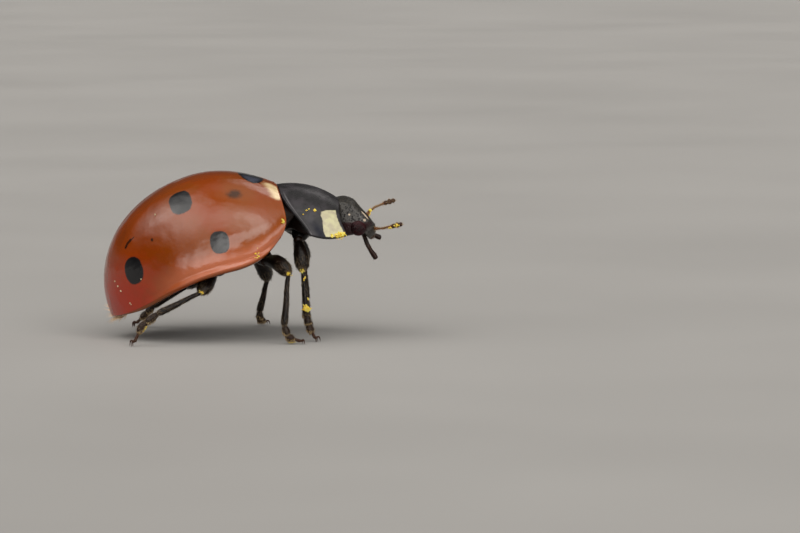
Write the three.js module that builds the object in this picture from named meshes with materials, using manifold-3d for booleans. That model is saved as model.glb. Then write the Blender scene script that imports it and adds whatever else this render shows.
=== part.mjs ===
// A seven-spot ladybird (Coccinella septempunctata), life size, standing still on six feet.
// Millimetres, +Z up, +X towards the head, +Y towards the beetle's left. Z = 0 is the floor under the feet.
import * as THREE from "three";
import { mergeVertices } from "three/addons/utils/BufferGeometryUtils.js";
import Module from "manifold-3d";

const wasm = await Module();
wasm.setup();

const { degToRad, lerp } = THREE.MathUtils;
const at = (x, y, z) => new THREE.Vector3(x, y, z);

// Driving dimensions
const GAP = 0.03; // free space between two neighbouring pieces
const THIN = 0.5; // thickness of the wing cases, the shield and the thinnest limbs
const PITCH = degToRad(22.5); // the trunk stands nose up
const BODY_AT = at(-1.46, 0, 1.735); // middle of the wing cases' lower edge, above the floor
const ELYTRA = {
  base: 2.46, // x of the front edge at the seam, in the trunk's frame
  apex: -2.97, // x of the rear tip
  halfWidth: 2.62,
  baseHalfWidth: 2.04,
  widestAt: 0.344, // share of the length, from the front
  height: 2.65,
  baseHeight: 1.585,
  highestAt: 0.44,
  frontSweep: 0.21, // the front edge curves this far back at the sides
  frontCorner: 0.3, // and its rounded lower corners this much further
  edgeLift: 0.28, // the lower edge arches up beside the abdomen
  shoulderLift: 0.336, // and rises to the rounded shoulder
};
const TRUNK = {
  front: -0.1, // shares of the wing cases' length: the thorax reaches out in front of them
  waist: 0.44, // the thorax ends and the abdomen begins
  belly: 0.13, // depth of the underside below the wing cases' edge
};
const SCUTELLUM = { length: 0.48, halfWidth: 0.27, x: 2.46, z: 1.6, slope: degToRad(41) };
const PRONOTUM = {
  length: 1.59,
  halfWidth: 1.66,
  drop: 1.05, // from the ridge down to the hind corners
  frontDrop: 0.87,
  sag: 0.1, // the side edges hang this much lower halfway along
  sweep: 0.92, // the hind corners lie this far forward of the hind edge's middle
  corner: 0.28, // the front corners lie this far forward of the front edge's middle
  narrowing: 0.12, // share of the width lost towards the front
  arch: 0.15,
  spread: degToRad(78), // arc of the cross-section on each side of the ridge
  at: at(2.56, 0, 1.49), // middle of the hind edge, in the trunk's frame
  tilt: degToRad(35.5), // nose down from the trunk's frame
};
const PROTHORAX = { rear: 0.3, front: 0.84, belly: 0.1 }; // shares of the pronotum's length, and its depth
const HEAD = { at: at(2.33, 0, 3.15), tilt: degToRad(48), size: at(0.7, 0.86, 0.35), squareness: 0.7 };
const EYE = { at: at(0.18, 0.76, -0.09), size: at(0.24, 0.19, 0.22) }; // in the head's frame
const MOUTH = { at: at(0.6, 0, -0.02), size: at(0.24, 0.42, 0.2), squareness: 0.8 };

// Points above the floor that the feelers and palps run through. A feeler's last two points hold its club.
const ANTENNAE = {
  right: [at(2.74, -0.45, 2.9), at(3.04, -0.74, 2.92), at(3.2, -0.88, 2.96), at(3.36, -0.98, 3.0)],
  left: [at(2.68, 0.45, 3.12), at(2.98, 0.7, 3.36), at(3.18, 0.86, 3.44), at(3.38, 0.98, 3.48)],
};
const PALPS = {
  right: [at(2.6, -0.3, 2.72), at(2.7, -0.38, 2.44), at(2.86, -0.44, 2.16)],
  left: [at(2.74, 0.3, 2.64), at(2.94, 0.36, 2.6), at(3.1, 0.4, 2.54)],
};

// Points above the floor that each leg's axis runs through: socket, hip, knee, ankle, heel and toe.
const SOLE = 0.19; // height of the toe's axis, a little less than its radius, so that it stands on a flat
const LEGS = {
  front_right: [
    [at(0.95, -0.5, 2.95), at(0.74, -1.05, 2.7), at(0.82, -1.6, 1.9)],
    [at(0.88, -1.82, 0.7), at(0.97, -1.88, 0.36), at(1.12, -1.97, SOLE)],
  ],
  front_left: [
    [at(0.95, 0.5, 2.95), at(0.92, 1.05, 2.66), at(1.24, 1.6, 1.86)],
    [at(1.32, 1.8, 0.8), at(1.38, 1.87, 0.34), at(1.54, 1.99, SOLE)],
  ],
  middle_right: [
    [at(-0.16, -0.7, 2.26), at(-0.22, -1.3, 2.1), at(0.37, -2.3, 1.75)],
    [at(0.22, -2.5, 0.6), at(0.34, -2.51, 0.26), at(0.66, -2.54, SOLE)],
  ],
  middle_left: [
    [at(-0.16, 0.7, 2.26), at(-0.24, 1.3, 2.0), at(0.24, 2.2, 1.32)],
    [at(0.02, 2.4, 0.5), at(0.04, 2.48, 0.26), at(0.2, 2.74, SOLE)],
  ],
  hind_right: [
    [at(-1.25, -0.6, 1.96), at(-1.5, -1.2, 1.9), at(-1.94, -2.3, 1.38)],
    [at(-3.1, -2.5, 0.86), at(-3.5, -2.55, 0.48), at(-3.74, -2.6, SOLE)],
  ],
  hind_left: [
    [at(-1.02, 0.6, 1.96), at(-1.26, 1.2, 1.86), at(-1.95, 2.25, 1.15)],
    [at(-2.9, 2.4, 0.62), at(-3.1, 2.45, 0.3), at(-3.36, 2.5, SOLE)],
  ],
};
const LIMB = THIN / 2;
const EVEN = [LIMB, LIMB, LIMB]; // radii at the start, middle and end of a limb of even thickness
const FEMUR = { front: 0.27, middle: 0.28, hind: 0.28 }; // greatest radius of each thigh
const COXA = 0.3; // radius of each hip piece
const CLUB = 0.28; // greatest radius of a feeler's club

const chitin = (color, roughness) => new THREE.MeshStandardMaterial({ color, roughness, metalness: 0 });
const WING_CASE = chitin(0x9c3a14, 0.25);
const BLACK = chitin(0x131316, 0.35);
const LEG = chitin(0x17130f, 0.5);
const EYE_BLACK = chitin(0x1a0a0c, 0.2);
const FEELER = chitin(0x4a3524, 0.5);

// Frames: the pitched trunk with the shield's frame in it, and the head's frame.
const frame = (position, tilt, parent) => {
  const group = new THREE.Group();
  group.position.copy(position);
  group.rotation.y = tilt;
  parent?.add(group);
  return group;
};
const ladybird = new THREE.Group();
const stance = frame(at(0, 0, 0), 0, ladybird);
const trunk = frame(BODY_AT, -PITCH, stance);
const shield = frame(PRONOTUM.at, PRONOTUM.tilt, trunk);
const head = frame(HEAD.at, HEAD.tilt, stance);
ladybird.updateMatrixWorld(true);

// A closed geometry as a solid that faces outwards. Vertices at one place are merged, and faces that shrank
// to a line are dropped.
function solidFrom(geometry) {
  const bare = new THREE.BufferGeometry().setAttribute("position", geometry.getAttribute("position"));
  bare.setIndex(geometry.index);
  const merged = mergeVertices(bare, 1e-5);
  const corners = merged.index.array;
  const faces = [];
  for (let i = 0; i < corners.length; i += 3) {
    const [a, b, c] = corners.subarray(i, i + 3);
    if (a !== b && b !== c && c !== a) faces.push(a, b, c);
  }
  const vertProperties = new Float32Array(merged.getAttribute("position").array);
  const facing = (triVerts) => new wasm.Manifold(new wasm.Mesh({ numProp: 3, vertProperties, triVerts }));
  const solid = facing(new Uint32Array(faces));
  return solid.volume() > 0 ? solid : facing(new Uint32Array(faces.reverse()));
}

function geometryFrom(solid) {
  const { vertProperties, triVerts } = solid.getMesh();
  const geometry = new THREE.BufferGeometry();
  geometry.setAttribute("position", new THREE.BufferAttribute(new Float32Array(vertProperties), 3));
  geometry.setIndex(new THREE.BufferAttribute(new Uint32Array(triVerts), 1));
  geometry.computeVertexNormals();
  return geometry;
}

const largest = (solid) => solid.decompose().reduce((a, b) => (b.volume() > a.volume() ? b : a));

// Adds one piece to a group. shape(grow) gives its geometry, or a list to be joined, grow mm larger all over.
// The piece is cut back from each of cutBy: a solid, or the name of an earlier piece, which is grown by GAP.
const grown = new Map();
function addPiece(name, group, material, shape, cutBy = []) {
  const join = (grow) =>
    [shape(grow)]
      .flat()
      .map((geometry) => solidFrom(geometry.applyMatrix4(group.matrixWorld)))
      .reduce((a, b) => a.add(b));
  grown.set(name, join(GAP));
  const cut = cutBy.reduce((solid, cutter) => solid.subtract(grown.get(cutter) ?? cutter), join(0));
  const geometry = geometryFrom(largest(cut)).applyMatrix4(group.matrixWorld.clone().invert());
  const mesh = new THREE.Mesh(geometry, material);
  mesh.name = name;
  group.add(mesh);
}

// All the space on one side of a plane through a point, as a large box.
const FAR = 20;
function beyond(point, direction) {
  const turned = new THREE.Quaternion().setFromUnitVectors(at(0, 0, 1), direction);
  const box = new THREE.BoxGeometry(FAR, FAR, FAR).translate(0, 0, FAR / 2).applyQuaternion(turned);
  return solidFrom(box.translate(point.x, point.y, point.z));
}

// At a joint of a limb, a thin cut halves the bend. These give the space to remove from the piece before the
// joint, and from the piece after it.
function jointCuts(before, joint, after) {
  const inward = joint.clone().sub(before).normalize();
  const outward = after.clone().sub(joint).normalize();
  const along = inward.add(outward).normalize();
  const shift = along.clone().multiplyScalar(GAP / 2);
  return [beyond(joint.clone().sub(shift), along), beyond(joint.clone().add(shift), along.clone().negate())];
}

// A closed plate between two surfaces, which are given over u and v from 0 to 1.
function plate(upper, lower, rows, columns) {
  const positions = [];
  const faces = [];
  for (const surface of [upper, lower])
    for (let i = 0; i <= rows; i++)
      for (let j = 0; j <= columns; j++) positions.push(...surface(i / rows, j / columns).toArray());
  const width = columns + 1;
  const under = (rows + 1) * width;
  const quad = (a, b, c, d) => faces.push(a, b, c, a, c, d);
  for (let i = 0; i < rows; i++)
    for (let j = 0; j < columns; j++) {
      const k = i * width + j;
      quad(k, k + width, k + width + 1, k + 1);
      quad(under + k, under + k + 1, under + k + width + 1, under + k + width);
    }
  for (let i = 0; i < rows; i++) {
    const near = i * width;
    const far = near + columns;
    quad(near, under + near, under + near + width, near + width);
    quad(far, far + width, under + far + width, under + far);
  }
  for (let j = 0; j < columns; j++) {
    const last = rows * width + j;
    quad(j, j + 1, under + j + 1, under + j);
    quad(last, under + last, under + last + 1, last + 1);
  }
  const geometry = new THREE.BufferGeometry();
  geometry.setAttribute("position", new THREE.Float32BufferAttribute(positions, 3));
  geometry.setIndex(faces);
  return geometry;
}

// A sphere stretched to size and pressed towards a box: squareness 1 is an ellipsoid, and less is squarer.
function rounded({ size, at: centre, squareness = 1 }, grow, around, down) {
  const geometry = new THREE.SphereGeometry(1, around, down);
  const position = geometry.getAttribute("position");
  const press = (x) => Math.sign(x) * Math.abs(x) ** squareness;
  const p = new THREE.Vector3();
  for (let i = 0; i < position.count; i++) {
    p.fromBufferAttribute(position, i);
    p.set(press(p.x) * (size.x + grow), press(p.y) * (size.y + grow), press(p.z) * (size.z + grow));
    position.setXYZ(i, p.x, p.y, p.z);
  }
  return geometry.translate(centre.x, centre.y, centre.z);
}

// A round limb with domed ends that runs through points. Its radius goes from start over middle to end. It is
// turned on a straight axis, and then bent along the curve.
const LIMB_SIDES = 8;
const END_FULLNESS = 1.3; // the domes reach the full radius before the end points
const END_BLUNTNESS = 0.6; // less is blunter
const END_REACH = 0.8; // in radii past the end points
function limb(points, [start, middle, end], grow) {
  const curve = new THREE.CatmullRomCurve3(points);
  const length = curve.getLength();
  const steps = 2 + 2 * points.length;
  const outline = [];
  for (let i = 0; i <= steps; i++) {
    const turn = (Math.PI * i) / steps;
    const along = 0.5 - 0.5 * Math.cos(turn);
    const ends = lerp(start, end, along);
    const swell = Math.sin(Math.PI * along) ** 2;
    const dome = Math.min(1, END_FULLNESS * Math.sin(turn) ** END_BLUNTNESS);
    const isTip = i === 0 || i === steps;
    const radius = isTip ? 0 : (lerp(ends, middle, swell) + grow) * dome;
    const overhang = END_REACH * ends + grow;
    outline.push(new THREE.Vector2(radius, lerp(-overhang, length + overhang, along)));
  }
  const geometry = new THREE.LatheGeometry(outline, LIMB_SIDES);
  const position = geometry.getAttribute("position");
  const chord = points.at(-1).clone().sub(points[0]).normalize();
  const upright = new THREE.Quaternion().setFromUnitVectors(at(0, 1, 0), chord);
  const bend = new THREE.Quaternion();
  const p = new THREE.Vector3();
  for (let i = 0; i < position.count; i++) {
    p.fromBufferAttribute(position, i);
    const reached = Math.min(Math.max(p.y, 0), length);
    p.y -= reached;
    bend.setFromUnitVectors(chord, curve.getTangentAt(reached / length));
    p.applyQuaternion(upright).applyQuaternion(bend).add(curve.getPointAt(reached / length));
    position.setXYZ(i, p.x, p.y, p.z);
  }
  return geometry;
}

// The wing cases make an egg-shaped dome. share runs from its front edge to its tip, and angle from 0 at the
// left edge over the top to PI at the right edge.
function domeWidth(share, inset) {
  const { widestAt, halfWidth, baseHalfWidth } = ELYTRA;
  const forward = Math.max(0, (widestAt - share) / widestAt);
  const behind = Math.max(0, (share - widestAt) / (1 - widestAt));
  const taper = (halfWidth - baseHalfWidth) * forward ** 2.3;
  return (halfWidth - inset - taper) * (1 - behind ** 1.86) ** (1 / 1.93);
}

function domeHeight(share, inset) {
  const { highestAt, height, baseHeight } = ELYTRA;
  const forward = Math.max(0, (highestAt - share) / highestAt);
  const behind = Math.max(0, (share - highestAt) / (1 - highestAt));
  const taper = (height - baseHeight) * forward ** 2.2;
  return (height - inset - taper) * (1 - behind ** 2.13) ** (1 / 2.03);
}

function domePoint(share, angle, inset) {
  const across = Math.cos(angle);
  const side = Math.abs(across);
  const corner = ELYTRA.frontCorner * (1 - Math.sin(angle)) ** 9;
  const front = ELYTRA.base - ELYTRA.frontSweep * side ** 1.5 - corner;
  const edge =
    ELYTRA.edgeLift * Math.sin(Math.PI * share) ** 2 * side ** 2 +
    ELYTRA.shoulderLift * Math.max(0, 1 - share / 0.3) ** 2 * side ** 4;
  return at(
    lerp(front, ELYTRA.apex + inset, share),
    domeWidth(share, inset) * Math.sign(across) * side ** 0.92,
    domeHeight(share, inset) * Math.sin(angle) ** 0.95 + edge,
  );
}

function elytron(side, grow) {
  const surface = (inset) => (u, v) => {
    const share = 1 - (1 - u) ** 1.7; // closer rows at the steep rear end
    const angle = (Math.PI / 2) * (1 - v) ** 1.2; // and closer columns at the edge
    const p = domePoint(share, angle, inset);
    if (u === 0) p.x += grow;
    p.y = side * (Math.max(0, p.y) + GAP / 2 - grow);
    return p;
  };
  return plate(surface(-grow), surface(THIN + grow), 14, 9);
}

// A body that fills the space under an arched surface, with a slightly rounded underside.
function filling(surface, belly, rows, columns) {
  const underside = (u, v) => {
    const p = surface(u, v);
    const edge = surface(u, 0);
    const inward = 1 - (p.y / edge.y) ** 2;
    p.z = edge.z - (Number.isFinite(inward) ? belly(u) * inward : 0);
    return p;
  };
  return plate(surface, underside, rows, columns);
}

function trunkPiece(from, to, grow, rows) {
  const inset = THIN + 2 * GAP - grow;
  const surface = (u, v) => domePoint(lerp(from, to, u), Math.PI * (1 - v), inset);
  const belly = (u) => (TRUNK.belly + grow) * Math.sqrt(1 - lerp(from, to, u));
  return filling(surface, belly, rows, 14);
}

// The shield over the prothorax: u runs from its hind edge to its front edge, and v from right to left.
const shieldPoint = (inset) => (u, v) => {
  const { length, halfWidth, drop, frontDrop, sag, sweep, corner, narrowing, arch, spread } = PRONOTUM;
  const turn = (2 * v - 1) * spread;
  const across = Math.sin(turn) / Math.sin(spread);
  const side = Math.abs(across);
  const halfway = 4 * u * (1 - u);
  const edgeFall = lerp(drop, frontDrop, u) + sag * halfway;
  const fall = (edgeFall * (1 - Math.cos(turn))) / (1 - Math.cos(spread));
  return at(
    lerp(sweep * side ** 3, length + corner * side ** 10, u),
    halfWidth * across * (1 - narrowing * u ** 2) - Math.sin(turn) * inset,
    arch * halfway * Math.cos(turn) - fall - Math.cos(turn) * inset,
  );
};

function scutellum(grow) {
  const { length, halfWidth, x, z, slope } = SCUTELLUM;
  const outline = new THREE.Shape([
    new THREE.Vector2(grow, -halfWidth - grow),
    new THREE.Vector2(grow, halfWidth + grow),
    new THREE.Vector2(-length - 2 * grow, 0),
  ]);
  const wedge = new THREE.ExtrudeGeometry(outline, { depth: THIN + 2 * grow, bevelEnabled: false });
  return wedge.translate(0, 0, -THIN - grow).rotateY(slope).translate(x, 0, z);
}

const SIDES = { right: -1, left: 1 };
addPiece("scutellum", trunk, BLACK, scutellum);
for (const [name, side] of Object.entries(SIDES))
  addPiece(`elytron_${name}`, trunk, WING_CASE, (grow) => elytron(side, grow), ["scutellum"]);
addPiece("pronotum", shield, BLACK, (grow) => plate(shieldPoint(-grow), shieldPoint(THIN + grow), 6, 14), [
  "elytron_right",
  "elytron_left",
  "scutellum",
]);
addPiece("abdomen", trunk, BLACK, (grow) => trunkPiece(TRUNK.waist, 1, grow, 9));
const thoraxEnd = TRUNK.waist - GAP / (ELYTRA.base - ELYTRA.apex);
addPiece("thorax", trunk, BLACK, (grow) => trunkPiece(TRUNK.front, thoraxEnd, grow, 7), ["pronotum", "scutellum"]);
addPiece(
  "prothorax",
  shield,
  BLACK,
  (grow) => {
    const surface = shieldPoint(THIN + 2 * GAP - grow);
    const span = (u, v) => surface(lerp(PROTHORAX.rear, PROTHORAX.front, u), v);
    return filling(span, () => PROTHORAX.belly + grow, 5, 12);
  },
  ["thorax"],
);

const onSide = (piece, side) => ({ ...piece, at: at(piece.at.x, side * piece.at.y, piece.at.z) });
for (const [name, side] of Object.entries(SIDES))
  addPiece(`eye_${name}`, head, EYE_BLACK, (grow) => rounded(onSide(EYE, side), grow, 12, 8), ["pronotum"]);
const headShape = (grow) => rounded({ ...HEAD, at: at(0, 0, 0) }, grow, 16, 10);
addPiece("head", head, BLACK, headShape, ["eye_right", "eye_left", "prothorax", "pronotum"]);
addPiece("mouthparts", head, BLACK, (grow) => rounded(MOUTH, grow, 12, 8), ["head"]);

const FACE = ["head", "mouthparts", "eye_right", "eye_left"];
for (const name of Object.keys(SIDES)) {
  const [base, elbow, stemEnd, clubEnd] = ANTENNAE[name];
  const [stemCut, clubCut] = jointCuts(elbow, stemEnd, clubEnd);
  const stem = (grow) => limb([base, elbow, stemEnd], EVEN, grow);
  const club = (grow) => limb([stemEnd, clubEnd], [LIMB, CLUB, LIMB], grow);
  addPiece(`antenna_${name}`, stance, FEELER, stem, [stemCut, ...FACE]);
  addPiece(`antenna_club_${name}`, stance, FEELER, club, [clubCut]);
  addPiece(`palp_${name}`, stance, LEG, (grow) => limb(PALPS[name], EVEN, grow), [`antenna_${name}`, ...FACE]);
}

const BODY = ["thorax", "prothorax", "abdomen", "pronotum", "elytron_right", "elytron_left"];
const belowFloor = beyond(at(0, 0, 0), at(0, 0, -1));
for (const [name, points] of Object.entries(LEGS)) {
  const [socket, hip, knee, ankle, heel, toe] = points.flat();
  const thigh = [LIMB, FEMUR[name.split("_")[0]], LIMB];
  const [coxaEnd, femurStart] = jointCuts(socket, hip, knee);
  const [femurEnd, tibiaStart] = jointCuts(hip, knee, ankle);
  const [tibiaEnd, tarsusStart] = jointCuts(knee, ankle, heel);
  const coxa = (grow) => limb([socket, hip], [COXA, COXA, LIMB], grow);
  const femur = (grow) => limb([hip, knee], thigh, grow);
  const tibia = (grow) => limb([knee, ankle], EVEN, grow);
  const tarsus = (grow) => limb([ankle, heel, toe], EVEN, grow);
  addPiece(`coxa_${name}`, stance, LEG, coxa, [coxaEnd, ...BODY]);
  addPiece(`femur_${name}`, stance, LEG, femur, [femurStart, femurEnd, ...BODY]);
  addPiece(`tibia_${name}`, stance, LEG, tibia, [tibiaStart, tibiaEnd, ...BODY]);
  addPiece(`tarsus_${name}`, stance, LEG, tarsus, [tarsusStart, belowFloor]);
}

// The whole beetle is centred over the origin.
const middle = new THREE.Box3().setFromObject(ladybird, true).getCenter(new THREE.Vector3());
stance.position.set(-middle.x, -middle.y, 0);

export default ladybird;
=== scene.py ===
"""Looks of a life-size seven-spot ladybird (Coccinella septempunctata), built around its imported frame.

Shapes are worked out in millimetres in the beetle's stance: +X towards the head, +Y towards its
left, and the floor at Z = 0. add_piece() moves them into the frame, in metres. Every piece rides on
the frame's one body, "root".
"""
import math
from collections import namedtuple

import bmesh
import bpy
import numpy as np
from mathutils import Matrix, Vector


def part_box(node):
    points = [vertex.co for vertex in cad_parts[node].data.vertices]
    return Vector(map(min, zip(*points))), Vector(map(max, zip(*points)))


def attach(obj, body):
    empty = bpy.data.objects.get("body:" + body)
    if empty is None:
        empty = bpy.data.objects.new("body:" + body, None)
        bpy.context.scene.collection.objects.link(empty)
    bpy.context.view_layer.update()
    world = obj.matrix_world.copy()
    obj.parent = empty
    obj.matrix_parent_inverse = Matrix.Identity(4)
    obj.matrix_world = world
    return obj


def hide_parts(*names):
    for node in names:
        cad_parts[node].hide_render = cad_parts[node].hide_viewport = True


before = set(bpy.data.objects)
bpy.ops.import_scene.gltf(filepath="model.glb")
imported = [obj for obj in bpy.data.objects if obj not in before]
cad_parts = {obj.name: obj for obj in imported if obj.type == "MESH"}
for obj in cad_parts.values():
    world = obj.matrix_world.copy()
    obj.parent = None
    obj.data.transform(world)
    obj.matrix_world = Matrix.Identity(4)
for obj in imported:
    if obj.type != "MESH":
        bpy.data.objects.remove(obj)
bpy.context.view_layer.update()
RANDOM = np.random.default_rng(7)
MM = 0.001

# The dimensions that drive the shapes, in mm: those of the frame's solids, or close to them
PITCH = math.radians(22.5)
BODY_AT = (-1.46, 0, 1.735)
ELYTRA = {
    "base": 2.46,
    "apex": -2.97,
    "half_width": 2.62,
    "base_half_width": 2.04,
    "widest_at": 0.344,
    "height": 2.65,
    "base_height": 1.585,
    "highest_at": 0.44,
    "front_sweep": 0.21,
    "front_corner": 0.36,
    "edge_lift": 0.28,
    "shoulder_lift": 0.336,
}
BELLY = 0.13
SCUTELLUM = {"length": 0.46, "half_width": 0.25, "reach": 0.36,
             "at": (2.42, 0, 1.56), "slope": math.radians(41)}
PRONOTUM = {
    "length": 1.59,
    "half_width": 1.66,
    "drop": 1.05,
    "front_drop": 0.87,
    "sag": 0.1,
    "sweep": 0.84,
    "sweep_power": 4.3,
    "rounding": 0.1,
    "corner": 0.28,
    "narrowing": 0.12,
    "arch": 0.15,
    "spread": math.radians(78),
    "at": (2.56, 0, 1.49),
    "tilt": math.radians(35.5),
}
HEAD = {"at": (2.33, 0, 3.15), "tilt": math.radians(48),
        "size": (0.71, 0.86, 0.355), "squareness": 0.62}
EYE = {"at": (0.18, 0.76, -0.09), "size": (0.24, 0.17, 0.22)}
ANTENNAE = {
    "right": ((2.74, -0.45, 2.9), (3.04, -0.74, 2.92), (3.22, -0.88, 2.97), (3.56, -1.0, 3.05)),
    "left": ((2.68, 0.45, 3.12), (2.98, 0.7, 3.36), (3.22, 0.86, 3.45), (3.6, 1.0, 3.55)),
}
PALPS = {
    "right": ((2.6, -0.3, 2.72), (2.7, -0.38, 2.44), (2.92, -0.44, 2.08)),
    "left": ((2.72, 0.3, 2.68), (2.92, 0.36, 2.66), (3.13, 0.4, 2.58)),
}
# Each leg: socket, hip, knee and ankle close to the solids', then heel and toe of the thinner foot
LEGS = {
    "front_right": ((0.95, -0.5, 2.95), (0.74, -1.05, 2.7), (0.82, -1.6, 1.9), (0.88, -1.82, 0.7),
                    (0.98, -1.88, 0.33), (1.1, -1.97, 0.1)),
    "front_left": ((0.95, 0.5, 2.95), (0.9, 1.05, 2.66), (1.2, 1.6, 1.86), (1.26, 1.8, 0.8),
                   (1.26, 1.87, 0.4), (1.32, 1.99, 0.1)),
    "middle_right": ((-0.16, -0.7, 2.26), (-0.22, -1.3, 2.14), (0.37, -2.3, 1.88), (0.22, -2.5, 0.5),
                     (0.33, -2.51, 0.2), (0.66, -2.54, 0.08)),
    "middle_left": ((-0.16, 0.7, 2.26), (-0.24, 1.3, 2.0), (0.24, 2.2, 1.32), (0.02, 2.4, 0.42),
                    (0.04, 2.48, 0.2), (0.2, 2.76, 0.08)),
    "hind_right": ((-1.25, -0.6, 1.96), (-1.5, -1.2, 1.9), (-1.94, -2.3, 1.39), (-3.13, -2.5, 0.86),
                   (-3.56, -2.55, 0.53), (-3.76, -2.6, 0.12)),
    "hind_left": ((-1.02, 0.6, 1.96), (-1.26, 1.2, 1.86), (-1.95, 2.2, 1.15), (-2.9, 2.4, 0.6),
                  (-3.12, 2.45, 0.36), (-3.36, 2.5, 0.12)),
}

# The camera: the picture's size, its scale, the distance in mm, and where the stance's origin shows
FRAME_WIDTH, FRAME_HEIGHT = 800, 533
PIXELS_PER_MM = 37
CAMERA_DISTANCE = 130
CAMERA_AZIMUTH, CAMERA_ELEVATION = math.radians(-7), math.radians(5)
STANCE_ORIGIN_PIXEL = (267, 335)
SENSOR_WIDTH = 36


# --- frames ------------

def about_y(angle, place):
    """The matrix of a frame that sits at place, turned about the Y axis."""
    matrix = np.eye(4)
    cosine, sine = math.cos(angle), math.sin(angle)
    matrix[:3, :3] = ((cosine, 0, sine), (0, 1, 0), (-sine, 0, cosine))
    matrix[:3, 3] = place
    return matrix


def carried(matrix, points):
    return np.asarray(points, float) @ matrix[:3, :3].T + matrix[:3, 3]


def middle(node):
    low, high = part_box(node)
    return np.array(low + high) / 2 / MM


TRUNK = about_y(-PITCH, BODY_AT)
SHIELD = TRUNK @ about_y(PRONOTUM["tilt"], PRONOTUM["at"])
FACE = about_y(HEAD["tilt"], HEAD["at"])
BETWEEN_EYES = carried(FACE, np.array(EYE["at"]) * (1, 0, 1))
SHIFT = (middle("eye_right") + middle("eye_left")) / 2 - BETWEEN_EYES
SIDES = {"right": -1, "left": 1}


# --- shapes ------------

def lerp(start, end, share):
    return start + (end - start) * share


def smooth(value, low, high):
    """0 below low, 1 above high, and a soft step between."""
    x = np.clip((value - low) / (high - low), 0, 1)
    return x * x * (3 - 2 * x)


def bell(value, middle, width):
    """1 at the middle, and less than a fiftieth from twice the width outwards."""
    return np.exp(-(((value - middle) / width) ** 2))


def stacked(*parts):
    """Arrays beside each other, along a new last axis."""
    return np.stack(np.broadcast_arrays(*parts), axis=-1)


def unit(vectors):
    return vectors / np.maximum(np.linalg.norm(vectors, axis=-1, keepdims=True), 1e-12)


def through(places, values, at):
    """A smooth curve that has these values at these places, read at the given ones."""
    places = np.asarray(places, float)
    values = np.asarray(values, float)
    at = np.asarray(at, float)
    slope = np.gradient(values, places, axis=0)
    i = np.clip(np.searchsorted(places, at, side="right") - 1, 0, len(places) - 2)
    gap = places[i + 1] - places[i]
    x = (at - places[i]) / gap
    if values.ndim > 1:
        gap, x = gap[..., None], x[..., None]
    start = (1 + 2 * x) * (1 - x) ** 2 * values[i] + x * (1 - x) ** 2 * gap * slope[i]
    end = x * x * (3 - 2 * x) * values[i + 1] + x * x * (x - 1) * gap * slope[i + 1]
    return start + end


def along_path(points, at):
    points = np.asarray(points, float)
    steps = np.linalg.norm(np.diff(points, axis=0), axis=1)
    places = np.concatenate(([0], np.cumsum(steps))) / steps.sum()
    return through(places, points, at)


class Surface:
    """A grid of points in mm. A closed one joins its last column to its first."""

    def __init__(self, points, closed=False):
        self.points, self.closed = points, closed
        along = np.gradient(points, axis=0)
        if closed:
            across = (np.roll(points, -1, 1) - np.roll(points, 1, 1)) / 2
        else:
            across = np.gradient(points, axis=1)
        normal = unit(np.cross(across, along))
        outward = points - points.mean(axis=(0, 1))
        self.normal = normal if (normal * outward).sum() > 0 else -normal
        self.along = unit(along)

    def faces(self, start=0):
        rows, columns = self.points.shape[:2]
        index = np.arange(rows * columns).reshape(rows, columns) + start
        if self.closed:
            index = np.concatenate((index, index[:, :1]), axis=1)
        corners = (index[:-1, :-1], index[1:, :-1], index[1:, 1:], index[:-1, 1:])
        return np.stack(corners, axis=-1).reshape(-1, 4).tolist()

    def read(self, u, v):
        """Points, normals and directions along the grid at shares u of its rows and v of its columns."""
        rows, columns = self.points.shape[:2]
        i = np.clip(np.asarray(u) * (rows - 1), 0, rows - 1.001)
        span = columns if self.closed else columns - 1
        j = np.mod(v, 1) * span if self.closed else np.clip(np.asarray(v) * span, 0, span - 0.001)
        i0, j0 = i.astype(int), j.astype(int)
        i1, j1 = np.minimum(i0 + 1, rows - 1), (j0 + 1) % columns
        a, b = (i - i0)[..., None], (j - j0)[..., None]

        def blend(grid):
            near = grid[i0, j0] * (1 - b) + grid[i0, j1] * b
            far = grid[i1, j0] * (1 - b) + grid[i1, j1] * b
            return near * (1 - a) + far * a

        return blend(self.points), unit(blend(self.normal)), unit(blend(self.along))


def limb(path, half_width, half_depth, side, rings=28, sides=18, blunt=6):
    """A closed limb with domed ends. Its half width lies along side and its half depth across that.
    Both are (place, size) pairs along the path."""
    s = 0.5 - 0.5 * np.cos(np.linspace(0, math.pi, rings))
    centre = along_path(path, s)
    forward = unit(np.gradient(centre, axis=0))
    across = unit(np.asarray(side, float) - (forward @ np.asarray(side, float))[:, None] * forward)
    deep = np.cross(forward, across)
    dome = np.sqrt(np.maximum(0, 1 - np.abs(2 * s - 1) ** blunt))
    width = through(*zip(*half_width), s) * dome
    depth = through(*zip(*half_depth), s) * dome
    turn = np.linspace(0, 2 * math.pi, sides, endpoint=False)
    ring = across[:, None] * (width[:, None] * np.cos(turn))[..., None]
    ring = ring + deep[:, None] * (depth[:, None] * np.sin(turn))[..., None]
    return Surface(centre[:, None] + ring, closed=True)


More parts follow.
